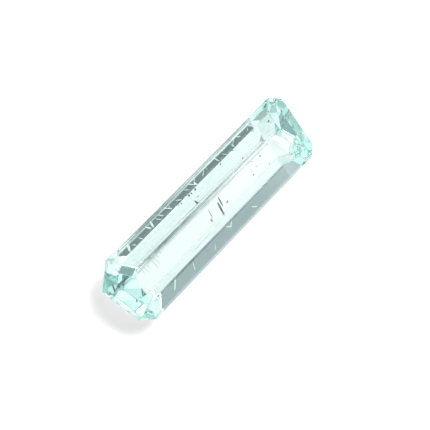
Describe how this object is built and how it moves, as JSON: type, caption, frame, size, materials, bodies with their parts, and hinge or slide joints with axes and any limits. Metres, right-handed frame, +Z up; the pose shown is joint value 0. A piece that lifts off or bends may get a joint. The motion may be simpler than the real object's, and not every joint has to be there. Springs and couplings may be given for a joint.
{
  "type": "tourmaline gemstone",
  "caption": "Long step-cut clear gemstone with clipped corners and a sharp keel, lying on one pavilion facet.",
  "frame": {"origin": "centre of the bounding box in plan, on the plane that the resting facet lies on", "axes": "+X along the stone's length, +Y across it towards the raised side, +Z up"},
  "size_m": [0.0182, 0.0054, 0.0046],
  "materials": {
    "mint_tourmaline": "polished clear pale mint-green crystal with fine growth tubes, feathers and small dark specks inside"
  },
  "bodies": {
    "root": {"gemstone": "mint_tourmaline"}
  },
  "joints": []
}
